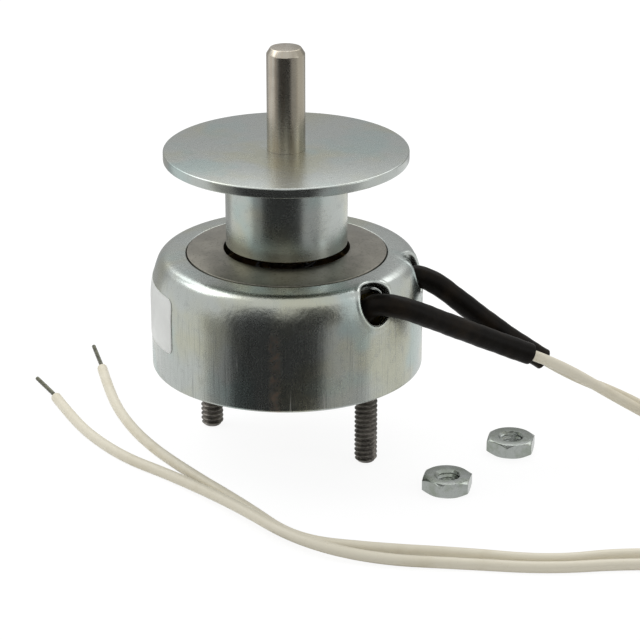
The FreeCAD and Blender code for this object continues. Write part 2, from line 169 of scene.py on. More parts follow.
# Upright cards: left, right, depth, foot (None is the floor), head, and the grey they glow in
UPRIGHT_CARDS = (
    ("front_low_card", -1.15, 0.95, -0.90, None, 0.19, 0.008),
    ("front_left_card", -0.75, -0.15, -0.89, 0.17, 0.31, 0.008),
    ("front_right_card", 0.13, 0.80, -0.89, 0.17, 0.36, 0.02),
    ("back_card", -1.4, 1.4, 0.95, None, 0.52, 0.50),
)


def length_prop(name, description, default):
    """A length in metres that a user may change."""
    return bpy.props.FloatProperty(
        name=name, description=description, default=default, min=0.0, precision=5, unit="LENGTH"
    )


def colour_prop(name, description, default):
    """A linear colour that a user may change."""
    return bpy.props.FloatVectorProperty(
        name=name, description=description, default=default, size=3, min=0.0, max=1.0, subtype="COLOR"
    )


class SolenoidSizes(bpy.types.PropertyGroup):
    """Sizes of the finished surfaces; the frame gives the defaults of what it holds."""

    case_radius: length_prop("Case radius", "Outer radius of the drawn case", 0.028575)
    case_height: length_prop("Case height", "Height of the case's flat top", high_corner("case").z)
    case_wall: length_prop("Case wall", "Thickness of the drawn wall", 0.002)
    rim_wall: length_prop("Rim wall", "Thickness of the rim round the base plate", 0.0014)
    rim_step: length_prop("Rim step", "Height of the step that the base plate sits against", 0.00555)
    shoulder_width: length_prop("Shoulder width", "How far the oval shoulder reaches inwards", 0.0041)
    shoulder_drop: length_prop("Shoulder drop", "How far the oval shoulder reaches down", 0.0094)
    shoulder_top: length_prop("Shoulder top radius", "Radius of the small arc at the top", 0.0029)
    crown_rise: length_prop("Crown rise", "How far the case's top rises from the shoulder to its mouth", 0.00012)
    hole_radius: length_prop("Lead hole radius", "Radius of the slanted lead holes", 0.0035)
    hole_drop: length_prop("Lead hole drop", "How far the punched hole runs on down the wall", 0.00085)
    hole_lip: length_prop("Lead hole lip", "Width of the rolled lip round a lead hole", 0.0016)
    hole_ridge: length_prop("Lead hole ridges", "How far the punching ridges stand into a lead hole", 0.00018)
    lip_rise: length_prop("Lip rise", "How far the rolled lip stands up", 0.00068)
    ring_radius: length_prop("Ring radius", "Outer radius of the pole ring's neck", 0.021)
    ring_flange: length_prop("Ring flange", "Radius of the flange under the case's top", 0.0235)
    ring_bore: length_prop("Ring bore", "Radius of the hole that the plunger enters", 0.0132)
    ring_proud: length_prop("Ring height", "How far the ring's outer edge stands above the case", 0.00015)
    ring_rise: length_prop("Ring rise", "How far the ring's top rises towards its bore", 0.00085)
    plunger_radius: length_prop("Plunger radius", "Radius of the plunger", high_corner("plunger").x)
    pocket_radius: length_prop("Pocket radius", "Radius of the spring pocket", 0.0074)
    pocket_depth: length_prop("Pocket depth", "Depth of the spring pocket", 0.0135)
    disc_radius: length_prop("Disc radius", "Radius of the flat disc", high_corner("armature_disc").x)
    shaft_radius: length_prop("Shaft radius", "Radius of the shaft", 0.00397)
    tail_radius: length_prop("Shaft tail radius", "Radius of the shaft below its shoulder", 0.00362)
    stud_radius: length_prop("Stud radius", "Radius over the stud's thread", 0.002415)
    stud_circle: length_prop("Stud circle radius", "Distance from the shaft to each stud", 0.01905)
    thread_pitch: length_prop("Thread pitch", "Distance between two turns of thread", 0.0010583)
    thread_depth: length_prop("Thread depth", "Depth of the thread", 0.00058)
    nut_flats: length_prop("Nut width", "Width across the nut's flats", 0.0096)
    spring_wire: length_prop("Spring wire", "Diameter of the return spring's wire", 0.0008)
    lead_diameter: length_prop("Lead diameter", "Diameter over the insulation", 0.0023)
    sleeve_diameter: length_prop("Sleeve diameter", "Outer diameter of the black sleeves", 0.0046)
    sleeve_bore: length_prop("Sleeve bore", "Inner diameter of the black sleeves", 0.0028)
    conductor_diameter: length_prop("Conductor diameter", "Diameter of the bare conductor", 0.00095)


class SolenoidColours(bpy.types.PropertyGroup):
    """Base colours of the finishes."""

    zinc: colour_prop("Zinc plate", "Plated case, disc and plunger", (0.42, 0.445, 0.425))
    bare_steel: colour_prop("Bare steel", "Ground pole ring", (0.20, 0.19, 0.16))
    stainless: colour_prop("Shaft steel", "Turned shaft", (0.44, 0.41, 0.35))
    stud: colour_prop("Stud steel", "Dark threaded studs", (0.20, 0.185, 0.165))
    insulation: colour_prop("Insulation", "Cream lead insulation", (0.84, 0.785, 0.64))
    sleeve: colour_prop("Sleeve", "Black varnished sleeve", (0.007, 0.006, 0.005))
    conductor: colour_prop("Conductor", "Dull tinned strands", (0.17, 0.17, 0.125))
    label: colour_prop("Label", "Blank label", (0.79, 0.80, 0.77))


def sizes():
    """The scene's size settings."""
    return bpy.context.scene.solenoid_sizes


def colours():
    """The scene's colour settings."""
    return bpy.context.scene.solenoid_colours


# Meshes


def linked(name, data):
    """A new object that carries some data, linked to the scene."""
    piece = bpy.data.objects.new(name, data)
    bpy.context.scene.collection.objects.link(piece)
    return piece


def mesh_piece(name, points, faces, crease=35.0):
    """A mesh object at the origin from points in metres and lists of corner numbers.

    Doubles are merged, faces are turned outwards, and edges sharper than crease degrees stay sharp.
    """
    mesh = bpy.data.meshes.new(name)
    mesh.from_pydata(np.asarray(points).reshape(-1, 3).tolist(), [], faces)
    work = bmesh.new()
    work.from_mesh(mesh)
    bmesh.ops.remove_doubles(work, verts=work.verts, dist=1e-7)
    bmesh.ops.dissolve_degenerate(work, edges=work.edges, dist=1e-8)
    bmesh.ops.recalc_face_normals(work, faces=work.faces)
    work.to_mesh(mesh)
    work.free()
    mesh.shade_smooth()
    mesh.set_sharp_from_angle(angle=math.radians(crease))
    return linked(name, mesh)


def grid_faces(rows, columns, first=0, wrap_rows=False, wrap_columns=False):
    """Four corner numbers for each cell of a grid of points, row by row, with optional wrap."""
    i, j = np.meshgrid(
        np.arange(rows if wrap_rows else rows - 1), np.arange(columns if wrap_columns else columns - 1),
        indexing="ij",
    )
    i, j = i.ravel(), j.ravel()
    down, right = (i + 1) % rows, (j + 1) % columns
    cells = np.stack([i * columns + j, down * columns + j, down * columns + right, i * columns + right], 1)
    return (cells + first).tolist()


def rounded_profile(corners, steps=5):
    """A closed or open outline of (radius, height, rounding) corners, in mm, with each corner filleted.

    A rounding of r replaces a corner by the arc of radius r that touches both of its sides: the
    arc starts r / tan(half the corner's angle) before the corner, and a rounding of 0 keeps it.
    """
    outline = []
    count = len(corners)
    for index, (radius, height, rounding) in enumerate(corners):
        here = np.array([radius, height])
        if rounding == 0:
            outline.append(here[None])
            continue
        before = np.array(corners[index - 1][:2]) - here
        after = np.array(corners[(index + 1) % count][:2]) - here
        before, after = before / np.linalg.norm(before), after / np.linalg.norm(after)
        half = math.acos(max(-1.0, min(1.0, float(before @ after)))) / 2
        reach = rounding / math.tan(half)
        middle = (before + after) / np.linalg.norm(before + after)
        centre = here + middle * rounding / math.sin(half)
        start, end = here + before * reach - centre, here + after * reach - centre
        first, last = math.atan2(start[1], start[0]), math.atan2(end[1], end[0])
        sweep = (last - first + math.pi) % TAU - math.pi
        turn = first + sweep * np.linspace(0, 1, steps)
        outline.append(centre + rounding * np.stack([np.cos(turn), np.sin(turn)], 1))
    return np.concatenate(outline)


def turned(radius, turn, height, centre=(0.0, 0.0)):
    """Points about an upright line: (x + r cos t, y + r sin t, z)."""
    radius, turn, height = np.broadcast_arrays(radius, turn, height)
    return np.stack([centre[0] + radius * np.cos(turn), centre[1] + radius * np.sin(turn), height], -1)


def lathe(name, profile, steps=160, crease=35.0):
    """A closed outline turned about Z: the point at (t, s) is (r(s) cos t, r(s) sin t, z(s))."""
    grid = turned(profile[:, 0] * MM, np.arange(steps)[:, None] * TAU / steps, profile[:, 1] * MM)
    return mesh_piece(name, grid, grid_faces(steps, len(profile), 0, True, True), crease)


def smooth_line(curve_object, samples):
    """Points and unit tangents along a curve object's own line, evenly spaced, in metres."""
    bare = curve_object.copy()
    bare.data = curve_object.data.copy()
    bare.data.bevel_depth = 0.0
    bare.data.resolution_u = 24
    bare.data.use_fill_caps = False
    bpy.context.scene.collection.objects.link(bare)
    bpy.context.view_layer.update()
    mesh = bpy.data.meshes.new_from_object(bare)
    line = np.array([vertex.co[:] for vertex in mesh.vertices])
    bpy.data.meshes.remove(mesh)
    curve = bare.data
    bpy.data.objects.remove(bare)
    bpy.data.curves.remove(curve)
    run = np.concatenate([[0.0], np.cumsum(np.linalg.norm(np.diff(line, axis=0), axis=1))])
    at = np.linspace(0.0, run[-1], samples)
    points = np.stack([np.interp(at, run, line[:, axis]) for axis in range(3)], 1)
    tangents = np.gradient(points, axis=0)
    tangents /= np.linalg.norm(tangents, axis=1)[:, None]
    return points, tangents


def frames_along(tangents):
    """Two unit normals for each tangent of a path, from an upright that is made square to the path."""
    side = np.cross(tangents, np.array([0.0, 0.0, 1.0]))
    flat = np.linalg.norm(side, axis=1)
    side[flat < 0.05] = np.array([0.0, 1.0, 0.0])
    side /= np.linalg.norm(side, axis=1)[:, None]
    return side, np.cross(side, tangents)


def tube_grid(points, tangents, radii, steps, twist=0.0):
    """The point at (s, t) is p(s) + r(s, t) (cos(t + twist s) side(s) + sin(t + twist s) up(s))."""
    side, up = frames_along(tangents)
    turn = np.arange(steps) * TAU / steps + twist * np.linspace(0, 1, len(points))[:, None]
    radii = np.broadcast_to(radii, turn.shape) if np.ndim(radii) == 2 else np.asarray(radii)[:, None]
    return (
        points[:, None]
        + (radii * np.cos(turn))[..., None] * side[:, None]
        + (radii * np.sin(turn))[..., None] * up[:, None]
    )


def rod_mesh(name, line, tangents, radii, steps, crease, twist=0.0):
    """A solid rod: the tube along a line, closed by a point at each end."""
    grid = tube_grid(line, tangents, radii, steps, twist)
    grid = np.concatenate([np.repeat(line[:1], steps, 0)[None], grid, np.repeat(line[-1:], steps, 0)[None]])
    return mesh_piece(name, grid, grid_faces(len(grid), steps, 0, False, True), crease)


# The case, with its two lead holes


class CaseShape:
    """The drawn case as a surface over (azimuth, slope), in mm.

    Slope is the angle about a point inside the wall's bend, so each slope meets the wall once, and a
    skin is a table of distance from that point against slope.
    """

    pivot = np.array([18.0, 10.0])
    mouth_gap, mouth_lip, rim_edge = 0.08, 0.25, 0.5  # room round the ring, radii of the mouth's lip and the foot
    hole_inset, hole_depth = 1.675, 3.15  # a lead hole's centre, from the wall inwards and from the top down

    def __init__(self, s):
        self.radius, self.height = s.case_radius / MM, s.case_height / MM
        self.wall, self.rim, self.step = s.case_wall / MM, s.rim_wall / MM, s.rim_step / MM
        self.width, self.drop, self.top = s.shoulder_width / MM, s.shoulder_drop / MM, s.shoulder_top / MM
        self.crown = s.crown_rise / MM
        self.mouth = s.ring_radius / MM + self.mouth_gap
        self.hole = s.hole_radius / MM
        self.hole_drop = s.hole_drop / MM
        self.outer = self.skin(0.0, 0.0, self.rim_edge)
        self.inner = self.skin(self.wall, self.step, 0.0)

    def skin(self, inset, bottom, edge):
        """One skin's outline: rim edge, upright wall, two tangent arcs, crowned top, mouth edge.

        The crown falls by rise * t^2 from the mouth edge, t = 0, to the arcs, t = 1, where its slope is theirs.
        """
        lip = self.mouth_lip
        slope = 2 * self.crown / (self.radius - self.width - self.mouth - lip)
        crown = math.atan(slope)
        rise = 2 * self.drop * self.top
        lower = (self.width**2 + self.drop**2 - rise) / (2 * (self.width - self.top))
        lean = math.atan2(self.drop - self.top, lower - self.width)
        shoulder = self.height - self.crown
        low = np.array([self.radius - lower, shoulder - self.drop])
        high = np.array([self.radius - self.width, shoulder - self.top])

        def bend(centre, size, first, last, steps):
            turn = np.linspace(first, last, steps)
            return centre + size * np.stack([np.cos(turn), np.sin(turn)], 1)

        wall = self.radius - inset
        parts = []
        if edge:
            parts.append(bend(np.array([wall - edge, bottom + edge]), edge, -math.pi / 2, 0.0, 6))
        else:
            parts.append(np.array([[wall, bottom]]))
        parts.append(bend(low, lower - inset, 0.0, lean, 24))
        parts.append(bend(high, self.top - inset, lean, math.pi / 2 - crown, 24)[1:])
        ceiling = self.height - inset
        start = parts[-1][-1]
        share = np.linspace(1, 0, 8)[1:]
        inner = self.mouth + (0.0 if inset else lip)
        radius = inner + (start[0] - inner) * share
        parts.append(np.stack([radius, ceiling - (ceiling - start[1]) * share**2], 1))
        if not inset:
            parts.append(bend(np.array([inner, ceiling - lip]), lip, math.pi / 2, math.pi, 6)[1:])
        return np.concatenate(parts)

    def slopes(self, skin):
        """The slope of each point of a skin."""
        return np.arctan2(skin[:, 1] - self.pivot[1], skin[:, 0] - self.pivot[0])

    def reach(self, skin, slope):
        """The skin's distance from the pivot at a slope, on the straight line between two of its points."""
        angles = self.slopes(skin)
        where = np.clip(np.searchsorted(angles, slope) - 1, 0, len(skin) - 2)
        a, b = skin[where], skin[where + 1]
        ray = np.stack([np.cos(slope), np.sin(slope)], -1)
        along = b - a
        offset = a - self.pivot
        across = offset[..., 0] * along[..., 1] - offset[..., 1] * along[..., 0]
        return across / (ray[..., 0] * along[..., 1] - ray[..., 1] * along[..., 0])

    def at(self, skin, azimuth, slope):
        """The point of a skin at an azimuth and a slope."""
        azimuth, slope = np.broadcast_arrays(azimuth, slope)
        reach = self.reach(skin, slope)
        return turned(self.pivot[0] + reach * np.cos(slope), azimuth, self.pivot[1] + reach * np.sin(slope))

    def place(self, points):
        """The azimuth and slope of points."""
        radius = np.hypot(points[..., 0], points[..., 1])
        azimuth = np.arctan2(points[..., 1], points[..., 0])
        return azimuth, np.arctan2(points[..., 2] - self.pivot[1], radius - self.pivot[0])

    def drill(self, azimuth):
        """A lead hole's centre and its three axes: out of the case, along the rim, and up across both.

        The hole is an oval: its axis across both is longer by half the drop, and the centre is lower by it.
        """
        out = np.array([math.cos(azimuth), math.sin(azimuth), 1.0]) / math.sqrt(2)
        along = np.array([-math.sin(azimuth), math.cos(azimuth), 0.0])
        centre = turned(self.radius - self.hole_inset, azimuth, self.height - self.hole_depth)
        across = np.cross(out, along)
        return centre - across * self.hole_drop / 2, out, along, across * (1 + self.hole_drop / 2 / self.hole)

    def turn_about(self, azimuth, points):
        """The turn of points about a drill's axis."""
        centre, _, along, across = self.drill(azimuth)
        return np.arctan2((points - centre) @ across / (across @ across), (points - centre) @ along)

    def meet(self, skin, azimuth, radius, turn):
        """Where lines along the drill, at a radius and a turn about it, meet a skin, by halving."""
        centre, out, along, across = self.drill(azimuth)
        start = centre + radius * (np.cos(turn)[:, None] * along + np.sin(turn)[:, None] * across)
        low, high = np.full(len(turn), -6.0), np.full(len(turn), 7.0)
        for _ in range(40):
            middle = (low + high) / 2
            points = start + middle[:, None] * out
            ring, slope = np.hypot(points[:, 0], points[:, 1]), self.place(points)[1]
            away = np.hypot(ring - self.pivot[0], points[:, 2] - self.pivot[1])
            outside = away > self.reach(skin, slope)
            high, low = np.where(outside, middle, high), np.where(outside, low, middle)
        return start + middle[:, None] * out


def case_mesh(shape, s):
    """The case: each skin is a grid over (azimuth, slope) with a block cut out at each lead hole.

    In a block the point at (k, t) lies between the hole's edge and the block's edge, both taken as
    (azimuth, slope) along the same direction t. The lip is the curve from the skin over a raised corner
    into the drill's wall, (1 - q)^2 a + 2 q (1 - q) b + q^2 c, and the wall joins the two skins at a
    radius R - d sin^2(3 pi q), three ridges left by the punch.
    """
    columns, half_block, patch_rings, lip_rings, wall_rings = 240, 12, 15, 12, 19
    pitch = TAU / columns
    azimuth = HOLE_AZIMUTHS[1] + np.arange(columns) * pitch
    block_slope = np.radians(np.linspace(27.0, 74.5, 33))
    points, faces, count = [], [], 0

    def add(grid, wrap_rows=False, wrap_columns=False, keep=None):
        nonlocal count
        cells = grid_faces(*grid.shape[:2], count, wrap_rows, wrap_columns)
        if keep is not None:
            cells = [cell for cell, kept in zip(cells, keep.ravel()) if kept]
        points.append(grid.reshape(-1, 3))
        faces.extend(cells)
        count += grid.shape[0] * grid.shape[1]

    def around(strip):
        return turned(strip[:, 0], azimuth[:, None], strip[:, 1])

    drill, lip = s.hole_radius / MM, s.hole_lip / MM
    rims = {}
    for skin_name, skin, edge in (("outer", shape.outer, drill + lip), ("inner", shape.inner, drill)):
        own = shape.slopes(skin)
        rest = np.concatenate([np.linspace(own[0], own[-1], 72), own])
        rest = rest[(rest < block_slope[0] - 0.002) | (rest > block_slope[-1] + 0.002)]
        slope = np.unique(np.concatenate([rest, block_slope]))
        low = int(np.searchsorted(slope, block_slope[0]))
        keep = np.ones((columns, len(slope) - 1), bool)
        for hole in HOLE_AZIMUTHS:
            middle = int(round((hole - azimuth[0]) / pitch))
            rows = np.arange(middle - half_block, middle + half_block + 1)
            keep[np.ix_(rows[:-1] % columns, np.arange(low, low + len(block_slope) - 1))] = False
            block_azimuth = azimuth[0] + rows * pitch
            side = len(block_slope) - 1
            border_azimuth = np.concatenate([
                block_azimuth[:-1], np.full(side, block_azimuth[-1]),
                block_azimuth[:0:-1], np.full(side, block_azimuth[0]),
            ])
            border_slope = np.concatenate([
                np.full(len(rows) - 1, block_slope[0]), block_slope[:-1],
                np.full(len(rows) - 1, block_slope[-1]), block_slope[:0:-1],
            ])
            border = shape.at(skin, border_azimuth, border_slope)
            turn = shape.turn_about(hole, border)
            rim = shape.meet(skin, hole, edge, turn)
            rim_azimuth, rim_slope = shape.place(rim)
            share = np.linspace(0, 1, patch_rings)[:, None] ** 1.15
            patch = shape.at(
                skin,
                rim_azimuth + share * (border_azimuth - rim_azimuth),
                rim_slope + share * (border_slope - rim_slope),
            )
            patch[0] = rim
            add(patch, False, True)
            rims[skin_name, hole] = turn, rim
        add(shape.at(skin, azimuth[:, None], slope[None, :]), True, False, keep)
    for hole in HOLE_AZIMUTHS:
        centre, out, along, across = shape.drill(hole)
        turn, rim = rims["outer", hole]
        corner = shape.meet(shape.outer, hole, drill, turn)
        wall = corner - out * lip
        q = np.linspace(0, 1, lip_rings)[:, None, None]
        raised = corner + out * s.lip_rise / MM
        add((1 - q) ** 2 * rim + 2 * q * (1 - q) * raised + q**2 * wall, False, True)
        inner_turn, inner_rim = rims["inner", hole]
        inner_turn = turn + (inner_turn - turn + math.pi) % TAU - math.pi
        q = np.linspace(0, 1, wall_rings)[:, None]
        wall_turn = (1 - q) * turn + q * inner_turn
        ridged = (drill - s.hole_ridge / MM * np.sin(3 * math.pi * q) ** 2)[..., None]
        depth = (1 - q) * ((wall - centre) @ out) + q * ((inner_rim - centre) @ out)
        add(
            centre + depth[..., None] * out
            + ridged * (np.cos(wall_turn)[..., None] * along + np.sin(wall_turn)[..., None] * across),
            False, True,
        )
    add(around(np.array([[shape.mouth, shape.height - shape.wall], shape.outer[-1]])), True)
    add(around(np.array([
        [shape.radius - shape.wall, shape.step], [shape.radius - shape.rim, shape.step],
        [shape.radius - shape.rim, 0.0], shape.outer[0],
    ])), True)
    return np.concatenate(points) * MM, faces


def label_sheet(shape):
    """The blank label's face: rows over slope, each as wide as the rounded rectangle is at that height.

    The half width at a height h from the middle is a - r + sqrt(r^2 - max(|h| - (b - r), 0)^2).
    """
    left, right = np.radians(LABEL_AZIMUTHS)
    slope = np.radians(np.linspace(*LABEL_SLOPES, 41))
    half_width, half_height, corner, glue = shape.radius * (right - left) / 2, 5.5, 1.6, 0.02
    height = np.linspace(-half_height, half_height, len(slope))
    over = np.maximum(np.abs(height) - (half_height - corner), 0.0)
    width = half_width - corner + np.sqrt(np.maximum(corner**2 - over**2, 0.0))
    azimuth = (right + left) / 2 + np.linspace(-1, 1, 60)[:, None] * width / shape.radius
    grid = shape.at(shape.outer, azimuth, slope) + turned(glue, azimuth, 0.0)
    return grid * MM, grid_faces(*grid.shape[:2])


# Threads


def thread_wave(height, turn, pitch):
    """How deep the thread is cut, from 0 on a crest to 1 in a root, at a height and a turn."""
    share = (height / pitch - turn / TAU) % 1.0
    return np.clip(1.3 * np.abs(2 * share - 1) - 0.15, 0.0, 1.0)


def stud_grid(s, azimuth):
    """A threaded stud: radius R - d w(z, t), limited by a cone at the tip, then the plain seat and head."""
    steps, rows_per_turn, run_out = 40, 11, -0.0002
    bottom, top = low_corner("mounting_studs").z, high_corner("mounting_studs").z
    turn = np.arange(steps) * TAU / steps
    height = np.linspace(bottom, run_out, int(-bottom / s.thread_pitch * rows_per_turn))
    fade = np.clip((run_out - height) / s.thread_pitch, 0.0, 1.0)
    radius = s.stud_radius - s.thread_depth * thread_wave(height[:, None], turn, s.thread_pitch) * fade[:, None]
    tip = s.stud_radius - 0.0007 + (height - bottom)[:, None]
    radius = np.minimum(radius, tip)
    seat, head, head_bottom = 0.0031, 0.0040, top - 0.0014
    plain = [
        (run_out / 2, s.stud_radius), (0.0, seat), (head_bottom, seat), (head_bottom, head), (top, head), (top, 0.0),
    ]
    rows = np.concatenate([[bottom], height, [row[0] for row in plain]])
    radius = np.concatenate([np.zeros((1, steps)), radius, np.repeat([[row[1]] for row in plain], steps, 1)])
    return turned(radius, turn, rows[:, None], turned(s.stud_circle, azimuth, 0.0))


def nut_grid(s, place, start):
    """A hexagon nut as rings over the azimuth t: h(t) = flats / (2 cos(t mod 60 - 30)) is the side's distance.

    A 30 degree cone from the circle inside the flats cuts the corners: z = H / 2 - (h(t) - f) tan 30. The bore
    is threaded: radius R - d + d w(z, t).
    """
    steps, thread_rows = 96, 34
    base, top = low_corner("mounting_nuts").z, high_corner("mounting_nuts").z
    turn = np.arange(steps) * TAU / steps
    side = s.nut_flats / 2 / np.cos((turn + TAU / 12) % (TAU / 6) - TAU / 12)
    face = s.nut_flats / 2 - 0.0001
    drop = np.maximum(side - face, 0.0) * math.tan(math.radians(30.0))
    depth, sink, ease = s.thread_depth * 0.75, 0.0003, 0.00008
    bore, mouth = s.stud_radius - depth, s.stud_radius + sink
    thread_z = np.linspace(top - sink, base + sink, thread_rows)
    fade = np.clip(np.minimum(thread_z - base - sink, top - sink - thread_z) / sink, 0.0, 1.0)[:, None]
    cut = depth * (1 - fade * (1 - thread_wave(thread_z[:, None], -turn, s.thread_pitch)))
    flat = np.ones(steps)
    rings = [
        (flat * mouth, flat * top), (flat * (mouth + ease), flat * top), (flat * (face - ease), flat * top),
        (flat * face, flat * (top - ease / 4)), (side - ease, top - drop - ease / 4), (side, top - drop - ease),
        (side, base + drop + ease), (side - ease, base + drop + ease / 4), (flat * face, flat * (base + ease / 4)),
        (flat * (face - ease), flat * base), (flat * (mouth + ease), flat * base), (flat * mouth, flat * base),
    ]
    radius = np.concatenate([[ring[0] for ring in rings], (bore + cut)[::-1]])
    height = np.concatenate([[ring[1] for ring in rings], np.repeat(thread_z[::-1, None], steps, 1)])
    return turned(radius, turn + start, height, place)


# Finishes


class Signal:
    """One shader socket; its operators add Math nodes."""

    def __init__(self, graph, socket):
        self.graph = graph
        self.socket = socket

    def math(self, operation, *values):
        return self.graph.node("ShaderNodeMath", {"operation": operation}, values)

    def __add__(self, other):
        return self.math("ADD", self, other)

    def __radd__(self, other):
        return self.math("ADD", other, self)

    def __sub__(self, other):
        return self.math("SUBTRACT", self, other)

    def __rsub__(self, other):
        return self.math("SUBTRACT", other, self)

    def __mul__(self, other):
        return self.math("MULTIPLY", self, other)

    def __rmul__(self, other):
        return self.math("MULTIPLY", other, self)

    def __truediv__(self, other):
        return self.math("DIVIDE", self, other)

    def __pow__(self, other):
        return self.math("POWER", self, other)


class Graph:
    """A node tree of a material or of the world."""

    def __init__(self, tree):
        self.tree = tree

    def node(self, kind, settings, values, output=0):
        """Any node: its settings are set first, then the numbers or links of its sockets."""
        node = self.tree.nodes.new(kind)
        for key, value in settings.items():
            setattr(node, key, value)
        pairs = values.items() if isinstance(values, dict) else enumerate(values)
        for key, value in pairs:
            if isinstance(value, Signal):
                self.tree.links.new(value.socket, node.inputs[key])
            else:
                node.inputs[key].default_value = value
        return Signal(self, node.outputs[output])

    def seen(self):
        """1 where a camera, glossy or transmission ray looks, else 0."""
        looks = self.node("ShaderNodeLightPath", {}, {}, "Is Camera Ray")
        rays = looks.socket.node.outputs
        for name in ("Is Glossy Ray", "Is Transmission Ray"):
            looks = looks.math("MAXIMUM", looks, Signal(self, rays[name]))
        return looks


class Finish(Graph):
    """A material round one Principled shader."""

    def __init__(self, name, colour, metallic, roughness, coat=0.0, specular=0.5):
        self.material = bpy.data.materials.new(name)
        self.material.use_nodes = True
        super().__init__(self.material.node_tree)
        self.shader = self.tree.nodes["Principled BSDF"]
        for socket, value in (
            ("Base Color", (*colour, 1.0)), ("Metallic", metallic), ("Roughness", roughness), ("Coat Weight", coat),
            ("Specular IOR Level", specular),
        ):
            self.shader.inputs[socket].default_value = value
        self.place = self.node("ShaderNodeTexCoord", {}, {}, "Object")

    def noise(self, size, detail=3.0, rough=0.5, vector=None, seed=0.0):
        """Cloudy noise from 0 to 1 with features of a size in metres, or of a vector's own units at size 1."""
        vector = vector or self.place
        shifted = self.node("ShaderNodeVectorMath", {"operation": "ADD"}, [vector, (seed * size,) * 3])
        values = {"Vector": shifted, "Scale": 1.0 / size, "Detail": detail, "Roughness": rough}
        return self.node("ShaderNodeTexNoise", {}, values)

    def place_parts(self):
        """The place's x, y and z, in metres."""
        split = self.node("ShaderNodeSeparateXYZ", {}, [self.place])
        return [Signal(self, socket) for socket in split.socket.node.outputs]

    def swept(self, around, profile):
        """A seamless vector on a turned piece: the azimuth's cosine and sine over an angle, and (z + r) / profile."""
        x, y, z = self.place_parts()
        radius = (x * x + y * y + 1e-9) ** 0.5
        values = [x / radius / around, y / radius / around, (z + radius) / profile]
        return self.node("ShaderNodeCombineXYZ", {}, values)

    def between(self, value, low, high):
        """0 below low, 1 above high and smooth between."""
        settings = {"interpolation_type": "SMOOTHSTEP", "clamp": True}
        return self.node("ShaderNodeMapRange", settings, {"Value": value, "From Min": low, "From Max": high})

    def blend(self, share, first, second):
        """One colour turning into another."""
        first, second = (item if isinstance(item, Signal) else (*item, 1.0) for item in (first, second))
        return self.node("ShaderNodeMix", {"data_type": "RGBA"}, {0: share, 6: first, 7: second}, 2)

    def stained(self, colour, mask, low, high, share, stain):
        """A colour that turns into another by a share, where a mask passes from low to high."""
        return self.blend(self.between(mask, low, high) * share, colour, stain)

    def done(self, colour, roughness, relief, depth, strength=0.5):
        """The material, with a colour, a roughness and a bump of a depth in metres."""
        bump = self.node("ShaderNodeBump", {}, {"Strength": strength, "Distance": depth, "Height": relief})
        for socket, value in (("Base Color", colour), ("Roughness", roughness), ("Normal", bump)):
            self.tree.links.new(value.socket, self.shader.inputs[socket])
        return self.material


def tinted(colour, *factors):
    """A colour times one factor, or times one factor for each channel."""
    return tuple(np.array(colour[:]) * factors)


def zinc_finish(name, around=0.09, profile=0.00035, scuff=0.25, seed=0.0, drawn=False):
    """Bright zinc plate: bluish metal with warm and teal clouds, fine mottling and drawn or turned scuffs.

    A drawn cup is pebbled on its bend and carries pale and dark die lines down its wall, with a warm brown streak
    fixed on the front of the wall.
    """
    base = colours().zinc
    finish = Finish(name, base, 1.0, 0.27)
    grey = tinted(base, 0.72)
    cloud = finish.noise(0.016, 3.0, 0.55, seed=seed)
    drift = finish.noise(0.011, 2.0, 0.5, seed=seed + 7.3)
    mottle = finish.noise(0.0019, 6.0, 0.68, seed=seed + 2.1)
    grain = finish.noise(0.00045, 3.0, 0.6, seed=seed + 4.0)
    scuffs = finish.noise(1.0, 5.0, 0.6, finish.swept(around, profile), seed)
    colour = finish.stained(base, cloud, 0.42, 0.66, 1.0, tinted(base, 1.02, 0.98, 0.84))
    colour = finish.stained(colour, drift, 0.50, 0.70, 0.8, tinted(base, 0.86, 0.99, 1.0))
    colour = finish.stained(colour, mottle, 0.50, 0.72, 0.42, grey)
    colour = finish.stained(colour, scuffs, 0.55, 0.75, scuff, grey)
    roughness = 0.14 + 0.12 * mottle + 0.06 * grain + 0.06 * scuffs
    relief = mottle * 0.6 + grain * 0.25 + scuffs * 0.5
    if drawn:
        x, y, z = finish.place_parts()
        bend = finish.between(z, 0.013, 0.020)
        wall = 1.0 - finish.between(z, 0.0145, 0.0185)
        lines = finish.noise(1.0, 2.0, 0.5, finish.swept(0.0075, 0.012), 3.0)
        pale_lines = (1.0 - finish.between(lines, 0.24, 0.31)) * wall
        # a warm brown streak fixed on the front of the wall, just left of its middle, patchy with the mottling
        front = x + finish.noise(0.004, 3.0, 0.6, seed=9.0) * 0.0012
        streak = finish.between(front, -0.0036, -0.0024) * (1.0 - finish.between(front, -0.0016, -0.0002))
        streak = streak * finish.between(y, -0.010, -0.020) * wall * (0.25 + 0.9 * finish.between(mottle, 0.42, 0.62))
        colour = finish.stained(colour, lines, 0.56, 0.70, wall * 0.5, tinted(base, 0.5))
        colour = finish.blend(pale_lines * 0.6, colour, (0.62, 0.62, 0.60))
        colour = finish.blend(streak * 0.8, colour, (0.56, 0.43, 0.34))
        roughness = roughness + 0.10 * streak + 0.14 * pale_lines
        relief = relief + finish.noise(0.0008, 2.0, 0.5, seed=6.0) * bend * 2.0 + lines * wall * 0.6
    return finish.done(colour, roughness, relief, 0.00002, 0.6)


